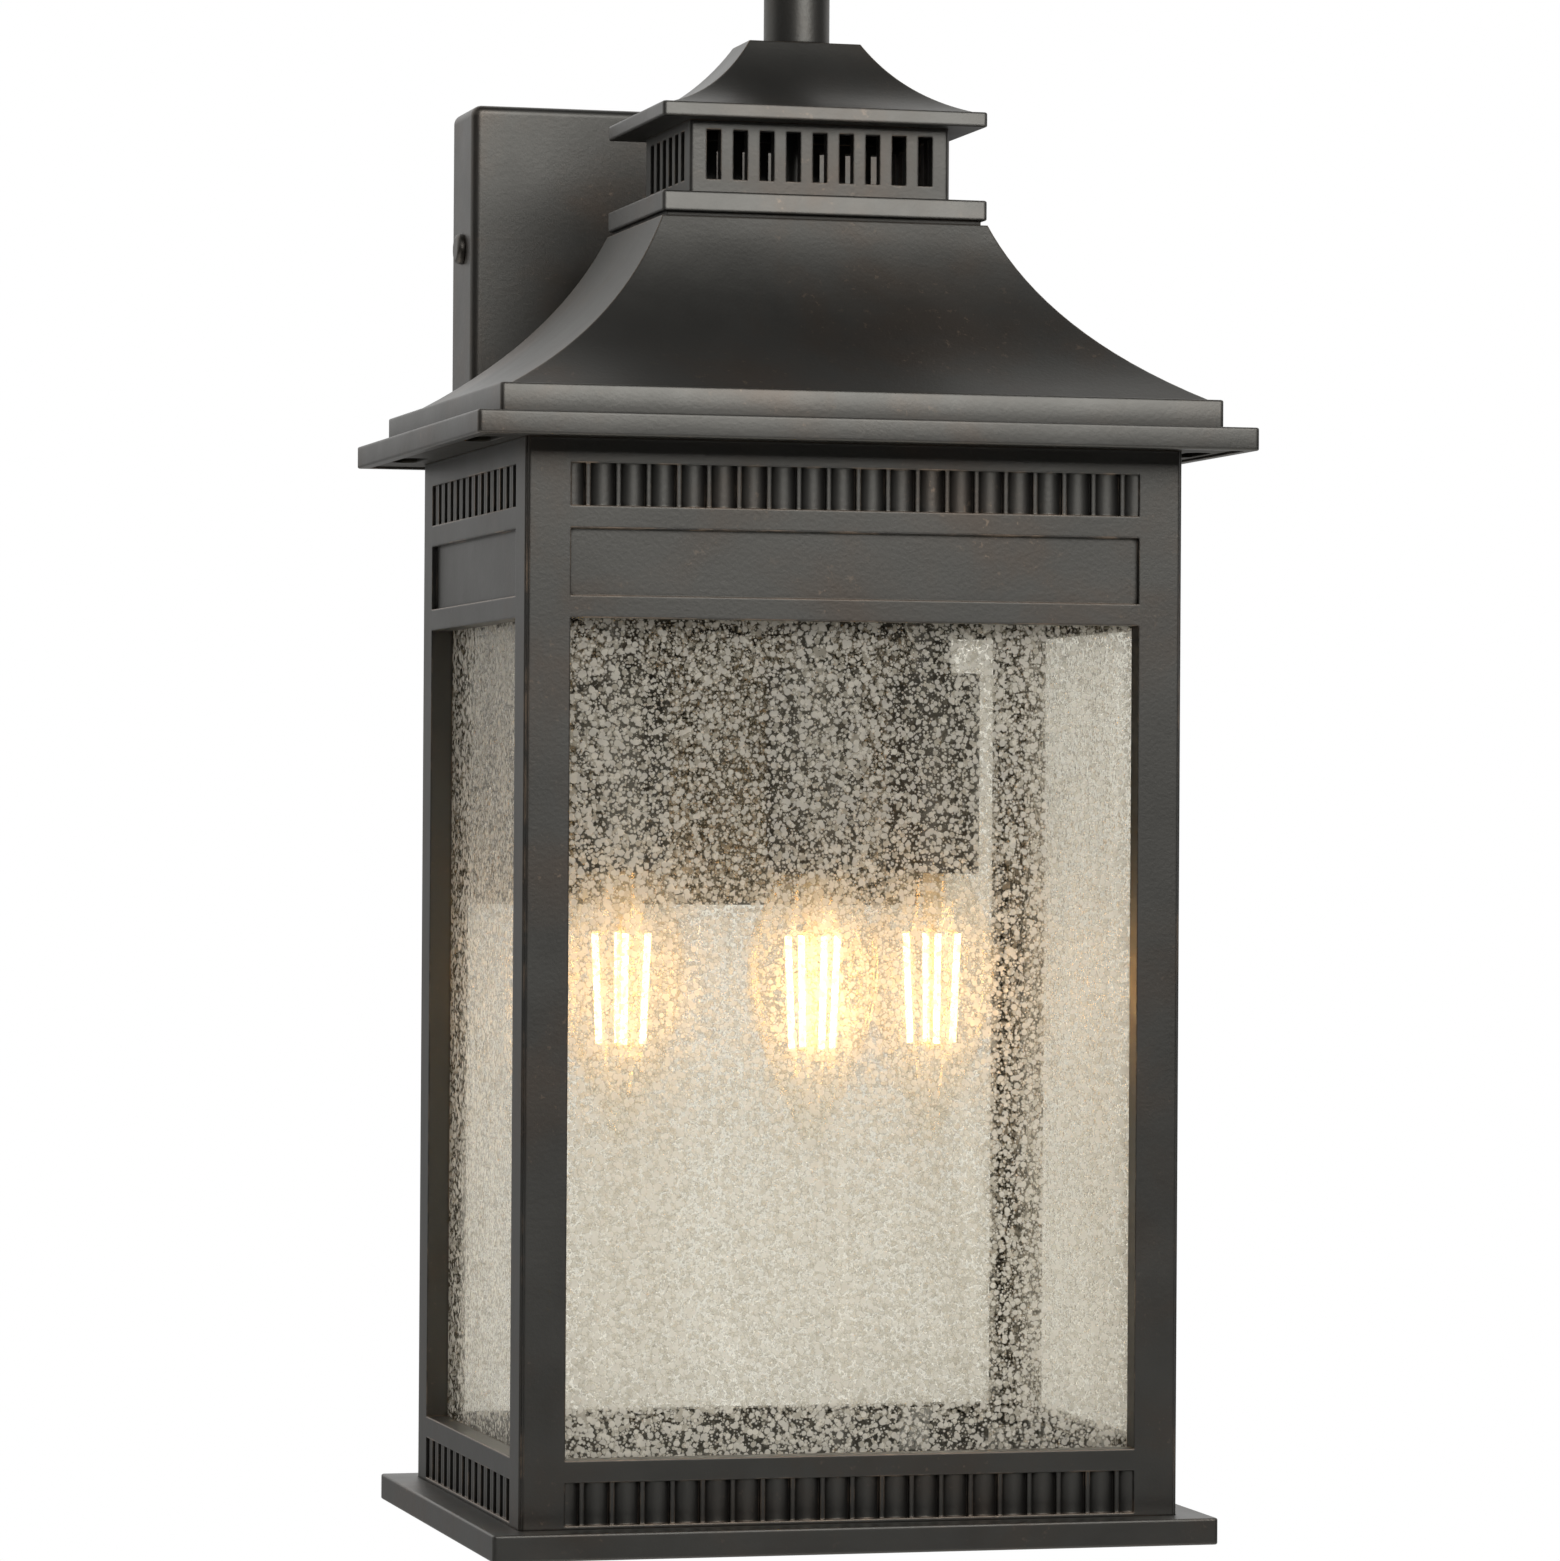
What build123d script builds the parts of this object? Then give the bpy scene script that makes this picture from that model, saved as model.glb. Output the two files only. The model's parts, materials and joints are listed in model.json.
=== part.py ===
from build123d import *
import math
import os

# Outdoor wall lantern. The origin is the centre of the wall face, +Z is up and the lantern hangs out
# towards -Y. Most pieces are drawn about the lantern's own upright axis, with the underside of the
# base at z = 0, and are then moved out from the wall.

# Lantern body
body_width = 178.0
body_depth = 133.0
frame_wall = 6.0
post_width = 12.0
corner_bevel = 1.0
mitre_gap = 0.1

# Heights up the body, from the underside of the base
base_height = 7.0
sill_gap = 1.0
frieze_height = 11.1
rail_height = 5.7
top_rail_height = 6.6
window_height = 217.5
panel_height = 17.5

# Relief on the four body frames
panel_depth = 1.5
frieze_depth = 1.9
reed_pitch = 8.05
reed_width = 6.6
reed_rise = 1.3
fillet_width = 1.2
fillet_rise = 1.5

# Base ring
base_overhang = 8.7
base_ledge = 15.0
base_round = 1.1

# Glass panes and their clips
glass_thickness = 3.0
glass_lap = 2.8
clip_width = 9.0
clip_sheet = 0.8
clip_foot = 9.0
clip_tongue = 2.4
clip_inset = 24.0
clip_screw_radius = 1.0
clip_screw_bite = 3.0
clip_head_radius = 2.1
clip_head_height = 1.2

# Blocks that tie the frames together inside the corners
block_side = 11.0
block_height = 12.0
tie_screw_radius = 1.5
tie_head_radius = 2.9
tie_head_height = 1.8
tie_screw_bite = 7.0
cross_screw_radius = 1.1
cross_head_radius = 2.0
cross_head_height = 1.2
cross_screw_bite = 3.5
cross_screw_offset = 2.3
cross_screw_rise = 3.0
thread_gap = 0.05

# Main roof: a stepped eave of two tiers below four hollow-curved slopes
eave_lower_overhang = 16.0
eave_lower_height = 6.1
eave_upper_overhang = 8.6
eave_upper_height = 7.6
eave_round = 1.1
eave_lip = 0.6
eave_wall = 3.0
roof_rise = 48.5
roof_wall = 1.9
roof_bend = 0.27
roof_lift = 0.38
soffit_sheet = 2.0
soffit_gap = 0.2
soffit_wire_width = 18.0
soffit_wire_depth = 12.0
soffit_wire_inset = 16.0
vent_length = 22.0
vent_width = 7.0
vent_pocket = 2.0
vent_offset = 7.5
vent_inset = 17.5

# Collar, slotted cupola and cupola roof
collar_width = 89.9
collar_depth = 64.2
collar_height = 6.7
collar_neck = 1.3
collar_undercut = 1.5
cupola_width = 71.9
cupola_depth = 50.7
cupola_height = 19.8
cupola_wall = 3.3
slot_pitch = 7.34
side_slot_pitch = 6.95
slot_width = 3.9
slot_height = 13.3
slot_rise = 4.0
front_slots = 9
side_slots = 6
cap_eave_height = 4.0
cap_rise = 19.9
cap_bend = 0.37
cap_lift = 0.22
cap_top_width = 31.0
cap_top_depth = 18.4
cap_wall = 1.6

# Stem, finial and the rod that clamps the roof together
stem_radius = 8.95
stem_wall = 2.0
stem_height = 24.0
rod_radius = 3.0
rod_hole_gap = 0.25
rod_tail = 9.0
nut_thickness = 5.0
nut_flat_radius = 5.0
washer_radius = 9.0
washer_thickness = 1.2
finial_flange_radius = 11.5
finial_flange_height = 3.0
finial_neck_radius = 5.6
finial_neck_height = 2.6
finial_ball_radius = 9.0
finial_bore_depth = 12.0
finial_gap = 0.2

# Candle sockets, sleeves and bulbs
side_candle_x = 44.0
side_candle_y = 14.0
front_candle_y = -23.0
sleeve_radius = 12.8
sleeve_wall = 1.3
sleeve_length = 55.0
sleeve_drop = 57.9
sleeve_cap = 1.5
socket_gap = 0.2
socket_mouth_depth = 5.0
nipple_radius = 4.85
nipple_wall = 1.2
nipple_grip = 9.0
nipple_top = 7.0
jam_nut_flat_radius = 7.0
jam_nut_thickness = 3.0
base_shell_radius = 5.95
base_shell_length = 15.0
base_fit = 0.06
base_skirt_radius = 8.4
base_skirt_height = 2.4
base_seat_gap = 0.3
contact_radius = 2.6
contact_length = 2.2
contact_gap = 0.2
bulb_radius = 17.5
bulb_length = 77.0
bulb_wall = 0.9
bulb_neck_radius = 8.3
filament_count = 4
filament_length = 30.0
filament_radius = 0.9
filament_top_ring = 7.3
filament_end_ring = 6.0
filament_start = 19.0
stem_glass_radius = 2.6
stem_glass_rise = 4.0
hub_radius = 1.2
hub_lap = 0.5
hub_tail = 2.0
support_radius = 0.35
# How far round each bulb's filaments stand once it is screwed in, in degrees
filament_turns = {"left": 40.0, "front": 55.0, "right": 42.0}

# Arm between the lantern and the backplate
arm_length = 24.5
arm_width = 50.0
arm_height = 30.0
arm_round = 4.0
arm_flange_width = 62.0
arm_flange_height = 42.0
arm_flange_thickness = 4.0
arm_pad_width = 60.0
arm_pad_height = 38.0
arm_centre_drop = 23.9
arm_bolt_spacing = 34.0
arm_bolt_radius = 2.5
arm_bolt_gap = 0.1
arm_bolt_flat_radius = 4.4
arm_bolt_head_height = 3.5
arm_bolt_tail = 2.0
arm_nut_thickness = 4.0
wire_hole_radius = 6.0

# Backplate and the bracket that holds it on the wall
backplate_width = 141.5
backplate_height = 227.0
backplate_depth = 26.0
backplate_wall = 2.2
backplate_round = 3.0
backplate_centre_drop = 9.4
bracket_gap = 0.2
bracket_sheet = 1.8
bracket_height = 180.0
bracket_flange = 18.0
side_screw_spacing = 147.0
side_screw_radius = 2.0
side_screw_reach = 5.0
side_head_radius = 4.3
side_head_height = 2.2
box_screw_spacing = 88.9
box_slot_length = 14.0
box_slot_width = 4.6
wire_window_radius = 15.0
wire_window_rise = 45.0
ground_screw_offset = 24.0
ground_screw_radius = 2.4
ground_head_radius = 4.4
ground_head_height = 2.4

# Heights worked out from the values above
frieze_low = base_height + sill_gap
window_low = frieze_low + frieze_height + rail_height
window_high = window_low + window_height
panel_low = window_high + rail_height
frieze_high = panel_low + panel_height + rail_height
body_top = frieze_high + frieze_height + top_rail_height
eave_low = body_top - eave_lip
eave_step = eave_low + eave_lower_height
slope_low = eave_step + eave_upper_height
slope_high = slope_low + roof_rise
collar_high = slope_high + collar_height
cupola_high = collar_high + cupola_height
cap_slope_low = cupola_high + cap_eave_height
cap_high = cap_slope_low + cap_rise
stem_high = cap_high + stem_height
finial_low = stem_high + finial_gap
rod_top = finial_low + finial_bore_depth - 1.0
soffit_high = body_top + soffit_sheet
arm_centre_rise = body_top - arm_centre_drop
base_drop = body_top - backplate_centre_drop

# Half sizes and places worked out from the values above
half_width = body_width / 2
half_depth = body_depth / 2
inner_half_width = half_width - frame_wall
inner_half_depth = half_depth - frame_wall
glass_low = window_low - glass_lap
glass_high = window_high + glass_lap
backplate_front = half_depth + arm_length
reach = backplate_front + backplate_depth
arm_nut_seat = backplate_front + backplate_wall
side_screw_y = reach - backplate_depth / 2
block_centre_x = inner_half_width - mitre_gap - block_side / 2
block_centre_y = inner_half_depth - mitre_gap - block_side / 2
block_levels = (base_height, body_top - block_height)
sleeve_high = body_top - sleeve_drop
sleeve_low = sleeve_high - sleeve_length
socket_mouth = sleeve_low + socket_mouth_depth
socket_high = sleeve_high - sleeve_cap
skirt_high = socket_mouth - base_seat_gap
skirt_low = skirt_high - base_skirt_height
bulb_tip = skirt_low - bulb_length
socket_bore_high = skirt_high + base_shell_length + contact_length + contact_gap
candles = {
    "left": (-side_candle_x, side_candle_y),
    "front": (0.0, front_candle_y),
    "right": (side_candle_x, side_candle_y),
}


def block(x, y, z):
    """A box between (low, high) pairs on each axis."""
    size = [high - low for low, high in (x, y, z)]
    middle = [(low + high) / 2 for low, high in (x, y, z)]
    return Pos(*middle) * Box(*size)


def plate(half_x, half_y, z_low, z_high):
    """A plain rectangular slab centred on the upright axis."""
    return block((-half_x, half_x), (-half_y, half_y), (z_low, z_high))


def post(radius, z_low, z_high, x=0.0, y=0.0):
    """An upright cylinder."""
    return Pos(x, y, (z_low + z_high) / 2) * Cylinder(radius, z_high - z_low)


def rod_along_y(radius, y_low, y_high, x, z):
    return Pos(x, (y_low + y_high) / 2, z) * Rot(90, 0, 0) * Cylinder(radius, y_high - y_low)


def rod_along_x(radius, x_low, x_high, y, z):
    return Pos((x_low + x_high) / 2, y, z) * Rot(0, 90, 0) * Cylinder(radius, x_high - x_low)


def hexagon(flat_radius, z_low, z_high, x=0.0, y=0.0):
    sketch = RegularPolygon(flat_radius, 6, major_radius=False)
    return Pos(x, y, z_low) * extrude(sketch, z_high - z_low)


def corners(dx, dy):
    return [(sx * dx, sy * dy) for sx in (-1, 1) for sy in (-1, 1)]


def save(name, shapes):
    """Write one node: its solids, kept apart, moved out from the wall."""
    place = Pos(0, -reach, -base_drop)
    solids = []
    for shape in shapes:
        solids += (place * shape).solids()
    node = solids[0] if len(solids) == 1 else Compound(children=solids)
    node.label = name
    export_step(node, "parts/" + name + ".step")


# Body frames. Each is drawn as seen from outside: its face lies on y = 0, its thickness runs to +y.
frame_turn = {
    "front": (0, half_depth, body_width),
    "right": (90, half_width, body_depth),
    "rear": (180, half_depth, body_width),
    "left": (270, half_width, body_depth),
}


def to_side(side, shape):
    turn, distance, _ = frame_turn[side]
    return Rot(0, 0, turn) * Pos(0, -distance, 0) * shape


def reeded_recess(half_open, z_low):
    """Cutter for a frieze: it leaves upright reeds with a narrow fillet between each pair."""
    count = math.floor(half_open / reed_pitch) + 1
    gap = (reed_pitch - fillet_width - reed_width) / 2
    edges = []
    for index in range(-count, count + 1):
        x = index * reed_pitch
        left, right = x - fillet_width / 2, x + fillet_width / 2
        crest = frieze_depth - fillet_rise
        reed_start, reed_end = right + gap, right + gap + reed_width
        next_left = x + reed_pitch - fillet_width / 2
        edges += Polyline((left, frieze_depth), (left, crest), (right, crest), (right, frieze_depth)).edges()
        edges.append(Line((right, frieze_depth), (reed_start, frieze_depth)))
        middle = ((reed_start + reed_end) / 2, frieze_depth - reed_rise)
        edges.append(ThreePointArc((reed_start, frieze_depth), middle, (reed_end, frieze_depth)))
        edges.append(Line((reed_end, frieze_depth), (next_left, frieze_depth)))
    start = -count * reed_pitch - fillet_width / 2
    stop = start + (2 * count + 1) * reed_pitch
    edges += Polyline((stop, frieze_depth), (stop, -1), (start, -1), (start, frieze_depth)).edges()
    profile = make_face(Wire(edges)) & Rectangle(2 * half_open, 4 * frieze_depth)
    return Pos(0, 0, z_low) * extrude(profile, frieze_height)


def clip_places(half_open):
    """Across and up/down direction of each glass clip on one frame."""
    return [(sx * (half_open - clip_inset), up) for sx in (-1, 1) for up in (-1, 1)]


def clip_foot_centre(up):
    edge = glass_high if up > 0 else glass_low
    return edge + up * (clip_sheet + clip_foot / 2)


def body_frame(side):
    width = frame_turn[side][2]
    half = width / 2 - mitre_gap
    half_open = width / 2 - post_width
    inner = half - frame_wall
    plan = Polygon(
        (-half + corner_bevel, 0),
        (half - corner_bevel, 0),
        (half - corner_bevel / 2, corner_bevel / 2),
        (inner, frame_wall),
        (-inner, frame_wall),
        (-half + corner_bevel / 2, corner_bevel / 2),
        align=None,
    )
    frame = Pos(0, 0, base_height) * extrude(plan, body_top - base_height)
    cuts = [
        block((-half_open, half_open), (-1, frame_wall + 1), (window_low, window_high)),
        block((-half_open, half_open), (-1, panel_depth), (panel_low, panel_low + panel_height)),
        reeded_recess(half_open, frieze_low),
        reeded_recess(half_open, frieze_high),
    ]
    for x, up in clip_places(half_open):
        start = frame_wall - clip_screw_bite
        hole = clip_screw_radius + thread_gap
        cuts.append(rod_along_y(hole, start, frame_wall + 1, x, clip_foot_centre(up)))
    frame -= cuts
    if side == "rear":
        pad = arm_pad_height / 2
        frame += block(
            (-arm_pad_width / 2, arm_pad_width / 2),
            (0, frame_wall),
            (arm_centre_rise - pad, arm_centre_rise + pad),
        )
        frame -= rod_along_y(wire_hole_radius, -1, frame_wall + 1, 0, arm_centre_rise)
        for x in (-arm_bolt_spacing / 2, arm_bolt_spacing / 2):
            frame -= rod_along_y(arm_bolt_radius + arm_bolt_gap, -1, frame_wall + 1, x, arm_centre_rise)
    screw_holes = [hole for z_low in block_levels for hole in cross_screw_holes(z_low)]
    return to_side(side, frame) - screw_holes


def glass_pane(side):
    width = frame_turn[side][2]
    half = width / 2 - post_width + glass_lap
    pane = block((-half, half), (frame_wall, frame_wall + glass_thickness), (glass_low, glass_high))
    return to_side(side, pane)


def glass_clip(x, up):
    """A bent strip: its foot lies on the frame and its tongue on the glass."""
    edge = glass_high if up > 0 else glass_low
    foot = sorted((edge, edge + up * (clip_sheet + clip_foot)))
    riser = sorted((edge, edge + up * clip_sheet))
    tongue = sorted((edge - up * clip_tongue, edge + up * clip_sheet))
    span = (x - clip_width / 2, x + clip_width / 2)
    top_of_glass = frame_wall + glass_thickness
    clip = block(span, (frame_wall, frame_wall + clip_sheet), foot)
    clip += block(span, (frame_wall, top_of_glass + clip_sheet), riser)
    clip += block(span, (top_of_glass, top_of_glass + clip_sheet), tongue)
    hole = rod_along_y(clip_screw_radius + thread_gap, 0, frame_wall + 2, x, clip_foot_centre(up))
    return clip - hole


def clip_screw(x, up):
    z = clip_foot_centre(up)
    seat = frame_wall + clip_sheet
    screw = rod_along_y(clip_screw_radius, frame_wall - clip_screw_bite, seat, x, z)
    return screw + rod_along_y(clip_head_radius, seat, seat + clip_head_height, x, z)


def cross_screw(sx, sy, z_low, along, radius, extra):
    """The line of a small screw from a corner block into a frame, as a rod."""
    if along == "y":
        x = sx * (block_centre_x - block_side / 2 + cross_screw_offset)
        z = z_low + block_height - cross_screw_rise
        start = sy * (block_centre_y - block_side / 2 - extra)
        end = sy * (inner_half_depth + cross_screw_bite)
        return rod_along_y(radius, min(start, end), max(start, end), x, z)
    y = sy * (block_centre_y - block_side / 2 + cross_screw_offset)
    start = sx * (block_centre_x - block_side / 2 - extra)
    end = sx * (inner_half_width + cross_screw_bite)
    return rod_along_x(radius, min(start, end), max(start, end), y, z_low + cross_screw_rise)


def cross_screw_holes(z_low):
    radius = cross_screw_radius + thread_gap
    return [
        cross_screw(sx, sy, z_low, along, radius, 1)
        for sx, sy in corners(1, 1)
        for along in ("x", "y")
    ]


def corner_block(sx, sy, z_low):
    x, y = sx * block_centre_x, sy * block_centre_y
    shape = Pos(x, y, z_low + block_height / 2) * Box(block_side, block_side, block_height)
    shape -= post(tie_screw_radius + thread_gap, z_low - 1, z_low + block_height + 1, x, y)
    for hole in cross_screw_holes(z_low):
        shape -= hole
    return shape


def frame_screw(sx, sy, z_low, along):
    shank = cross_screw(sx, sy, z_low, along, cross_screw_radius, 0)
    if along == "y":
        x = sx * (block_centre_x - block_side / 2 + cross_screw_offset)
        near = sy * (block_centre_y - block_side / 2)
        far = near - sy * cross_head_height
        z = z_low + block_height - cross_screw_rise
        return shank + rod_along_y(cross_head_radius, min(near, far), max(near, far), x, z)
    y = sy * (block_centre_y - block_side / 2 + cross_screw_offset)
    near = sx * (block_centre_x - block_side / 2)
    far = near - sx * cross_head_height
    return shank + rod_along_x(cross_head_radius, min(near, far), max(near, far), y, z_low + cross_screw_rise)


def base_ring():
    outer_x, outer_y = half_width + base_overhang, half_depth + base_overhang
    ring = plate(outer_x, outer_y, 0, base_height)
    ring = fillet(ring.edges().filter_by(Axis.Z), base_round)
    rims = ring.edges().group_by(Axis.Z)
    ring = fillet(list(rims[0]) + list(rims[-1]), base_round / 2)
    ring -= plate(half_width - base_ledge, half_depth - base_ledge, -1, base_height + 1)
    for x, y in corners(block_centre_x, block_centre_y):
        ring -= post(tie_screw_radius + thread_gap, -1, base_height + 1, x, y)
        ring -= post(tie_head_radius + 0.2, -1, tie_head_height + 0.3, x, y)
    return ring


def base_screw(x, y):
    seat = tie_head_height + 0.3
    screw = post(tie_head_radius, seat - tie_head_height, seat, x, y)
    return screw + post(tie_screw_radius, seat, base_height + tie_screw_bite, x, y)


def soffit_screw(x, y):
    screw = post(tie_head_radius, soffit_high, soffit_high + tie_head_height, x, y)
    return screw + post(tie_screw_radius, body_top - tie_screw_bite, soffit_high, x, y)


def flare(half_top, half_low, z_top, z_low, bend, lift):
    """Face between two hollow-curved slopes, in (across, up)."""
    control_x = half_top + bend * (half_low - half_top)
    control_z = z_low + lift * (z_top - z_low)
    right = Bezier((half_low, z_low), (control_x, control_z), (half_top, z_top))
    left = Bezier((-half_top, z_top), (-control_x, control_z), (-half_low, z_low))
    outline = right + Line((half_top, z_top), (-half_top, z_top))
    outline += left + Line((-half_low, z_low), (half_low, z_low))
    return make_face(outline)


def hipped(top, low, z_top, z_low, bend, lift):
    """A four-sided roof with hollow-curved slopes: two crossed extrusions."""
    span = 2 * max(low)
    across = extrude(Plane.XZ * flare(top[0], low[0], z_top, z_low, bend, lift), span, both=True)
    along = extrude(Plane.YZ * flare(top[1], low[1], z_top, z_low, bend, lift), span, both=True)
    return across & along


def tier(half_x, half_y, z_low, z_high, rounding):
    """An eave tier with rounded corners and a rounded upper and lower edge."""
    slab = plate(half_x, half_y, z_low, z_high)
    slab = fillet(slab.edges().filter_by(Axis.Z), rounding)
    rims = slab.edges().group_by(Axis.Z)
    return fillet(list(rims[0]) + list(rims[-1]), rounding / 2)


def roof_shell():
    lower = (half_width + eave_lower_overhang, half_depth + eave_lower_overhang)
    upper = (half_width + eave_upper_overhang, half_depth + eave_upper_overhang)
    top = (collar_width / 2, collar_depth / 2)
    shell = tier(*lower, eave_low, eave_step, eave_round)
    shell += tier(*upper, eave_step - eave_round, slope_low, eave_round)
    slope_foot = slope_low - eave_round
    shell += hipped(top, [half - eave_round for half in upper], slope_high, slope_foot, roof_bend, roof_lift)
    shell -= plate(lower[0] - eave_wall, lower[1] - eave_wall, eave_low - 1, soffit_high)
    inner_upper = [half - eave_wall for half in upper]
    shell -= plate(inner_upper[0], inner_upper[1], eave_low, slope_low - eave_wall)
    inner_top = [half - roof_wall for half in top]
    shell -= hipped(
        inner_top,
        inner_upper,
        slope_high - 2 * roof_wall,
        slope_low - eave_wall,
        roof_bend,
        roof_lift,
    )
    shell -= post(rod_radius + rod_hole_gap, slope_high - 3 * roof_wall, slope_high + 1)
    half_x, half_y = vent_width / 2, vent_length / 2
    for x, y in corners(half_width + vent_offset, half_depth - vent_inset):
        pocket = (soffit_high - 1, soffit_high + vent_pocket)
        shell -= block((x - half_x, x + half_x), (y - half_y, y + half_y), pocket)
    return shell


def soffit_plate():
    half_x = half_width + eave_lower_overhang - eave_wall - soffit_gap
    half_y = half_depth + eave_lower_overhang - eave_wall - soffit_gap
    sheet = plate(half_x, half_y, body_top, soffit_high)
    sheet -= post(rod_radius + rod_hole_gap, body_top - 1, soffit_high + 1)
    wire_y = inner_half_depth - soffit_wire_inset
    sheet -= block(
        (-soffit_wire_width / 2, soffit_wire_width / 2),
        (wire_y - soffit_wire_depth / 2, wire_y + soffit_wire_depth / 2),
        (body_top - 1, soffit_high + 1),
    )
    for x, y in corners(block_centre_x, block_centre_y):
        sheet -= post(tie_screw_radius + thread_gap, body_top - 1, soffit_high + 1, x, y)
    for x, y in candles.values():
        sheet -= post(nipple_radius + thread_gap, body_top - 1, soffit_high + 1, x, y)
    for x, y in corners(half_width + vent_offset, half_depth - vent_inset):
        vent = Pos(x, y, body_top - 1) * Rot(0, 0, 90) * SlotOverall(vent_length, vent_width)
        sheet -= extrude(vent, soffit_sheet + 2)
    return sheet


def roof_collar():
    """A flat slab on a short neck, which leaves a shadow line above the slopes."""
    half_x, half_y = collar_width / 2, collar_depth / 2
    neck_high = slope_high + collar_neck
    collar = tier(half_x, half_y, neck_high, collar_high, eave_round)
    collar += plate(half_x - collar_undercut, half_y - collar_undercut, slope_high, neck_high + 0.5)
    return collar - post(rod_radius + rod_hole_gap, slope_high - 1, collar_high + 1)


def cupola():
    """A box with a row of upright slots in each wall and a floor that the rod passes through."""
    box = plate(cupola_width / 2, cupola_depth / 2, collar_high, cupola_high)
    box = fillet(box.edges().filter_by(Axis.Z), corner_bevel)
    inner_x, inner_y = cupola_width / 2 - cupola_wall, cupola_depth / 2 - cupola_wall
    box -= plate(inner_x, inner_y, collar_high + cupola_wall, cupola_high + 1)
    slot_low = collar_high + slot_rise
    slots = (slot_low, slot_low + slot_height)
    for index in range(front_slots):
        x = (index - (front_slots - 1) / 2) * slot_pitch
        box -= block((x - slot_width / 2, x + slot_width / 2), (-cupola_depth, cupola_depth), slots)
    for index in range(side_slots):
        y = (index - (side_slots - 1) / 2) * side_slot_pitch
        box -= block((-cupola_width, cupola_width), (y - slot_width / 2, y + slot_width / 2), slots)
    return box - post(rod_radius + rod_hole_gap, collar_high - 1, cupola_high)


def cupola_roof():
    outer = (collar_width / 2, collar_depth / 2)
    top = (cap_top_width / 2, cap_top_depth / 2)
    lip = eave_round / 2
    cap = tier(*outer, cupola_high, cap_slope_low, eave_round)
    cap += hipped(top, [half - lip for half in outer], cap_high, cap_slope_low - lip, cap_bend, cap_lift)
    inner_top = [half - cap_wall for half in top]
    inner_low = [half - 2 * cap_wall for half in outer]
    cap -= hipped(inner_top, inner_low, cap_high - 2 * cap_wall, cap_slope_low - cap_wall, cap_bend, cap_lift)
    throat_x, throat_y = cupola_width / 2 - cupola_wall, cupola_depth / 2 - cupola_wall
    cap -= plate(throat_x, throat_y, cupola_high - 1, cap_slope_low - cap_wall)
    return cap - post(rod_radius + rod_hole_gap, cap_high - 3 * cap_wall, cap_high + 1)


def stem():
    """The tube above the cupola roof, with a floor that the rod passes through."""
    tube = post(stem_radius, cap_high, stem_high)
    tube -= post(stem_radius - stem_wall, cap_high + stem_wall, stem_high + 1)
    return tube - post(rod_radius + rod_hole_gap, cap_high - 1, stem_high)


def finial():
    """A flanged ball that screws down on the rod."""
    flange_high = finial_low + finial_flange_height
    neck_high = flange_high + finial_neck_height
    knob = post(finial_flange_radius, finial_low, flange_high)
    knob = fillet(knob.edges().group_by(Axis.Z)[-1], finial_flange_height / 3)
    knob += post(finial_neck_radius, flange_high - 0.5, neck_high + 0.5)
    ball_middle = neck_high + 0.9 * finial_ball_radius
    knob += Pos(0, 0, ball_middle) * Sphere(finial_ball_radius)
    return knob - post(rod_radius + thread_gap, finial_low - 1, finial_low + finial_bore_depth)


def clamp_rod():
    return post(rod_radius, body_top - rod_tail, rod_top)


def rod_nuts():
    """Nut and washer under the soffit."""
    hole = post(rod_radius + thread_gap, body_top - rod_tail - 1, body_top + 1)
    washer = post(washer_radius, body_top - washer_thickness, body_top) - hole
    nut_high = body_top - washer_thickness
    return [washer, hexagon(nut_flat_radius, nut_high - nut_thickness, nut_high) - hole]


def nipple(x, y):
    """Threaded tube from a socket up through the soffit."""
    tube = post(nipple_radius, socket_high - nipple_grip, soffit_high + nipple_top, x, y)
    return tube - post(nipple_radius - nipple_wall, 0, cap_high, x, y)


def jam_nuts(x, y):
    hole = post(nipple_radius + thread_gap, 0, cap_high, x, y)
    lower = hexagon(jam_nut_flat_radius, body_top - jam_nut_thickness, body_top, x, y)
    upper = hexagon(jam_nut_flat_radius, soffit_high, soffit_high + jam_nut_thickness, x, y)
    return [lower - hole, upper - hole]


def sleeve(x, y):
    """Candle cover: an open tube with a holed cap at its top."""
    tube = post(sleeve_radius, sleeve_low, sleeve_high, x, y)
    tube -= post(sleeve_radius - sleeve_wall, sleeve_low - 1, sleeve_high - sleeve_cap, x, y)
    return tube - post(nipple_radius + thread_gap, sleeve_low, sleeve_high + 1, x, y)


def socket(x, y):
    body = post(sleeve_radius - sleeve_wall - socket_gap, socket_mouth, socket_high, x, y)
    body -= post(base_shell_radius + base_fit, socket_mouth - 1, socket_bore_high, x, y)
    return body - post(nipple_radius + thread_gap, socket_high - nipple_grip, socket_high + 1, x, y)


def bulb_base(x, y):
    shell_high = skirt_high + base_shell_length
    base = post(base_skirt_radius, skirt_low, skirt_high, x, y)
    base += post(base_shell_radius, skirt_high, shell_high, x, y)
    return base + post(contact_radius, shell_high, shell_high + contact_length, x, y)


def bulb_outline(inset):
    """Half outline of the bulb from its neck to its tip, drawn in from the outside by inset."""
    neck = bulb_neck_radius - inset
    full = bulb_radius - inset
    low = bulb_tip + inset
    # Shares of the way down from the neck and of the full radius where the torpedo swells and narrows.
    shape = ((0.12, 0.72), (0.27, 0.97), (0.38, 1.0), (0.51, 0.92), (0.68, 0.70), (0.80, 0.48), (0.91, 0.24))
    points = [(neck, skirt_low)]
    points += [(share * full, skirt_low + down * (low - skirt_low)) for down, share in shape]
    points.append((0.0, low))
    return Spline(*points, tangents=((0.5, -1), (-1, -0.35)))


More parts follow.
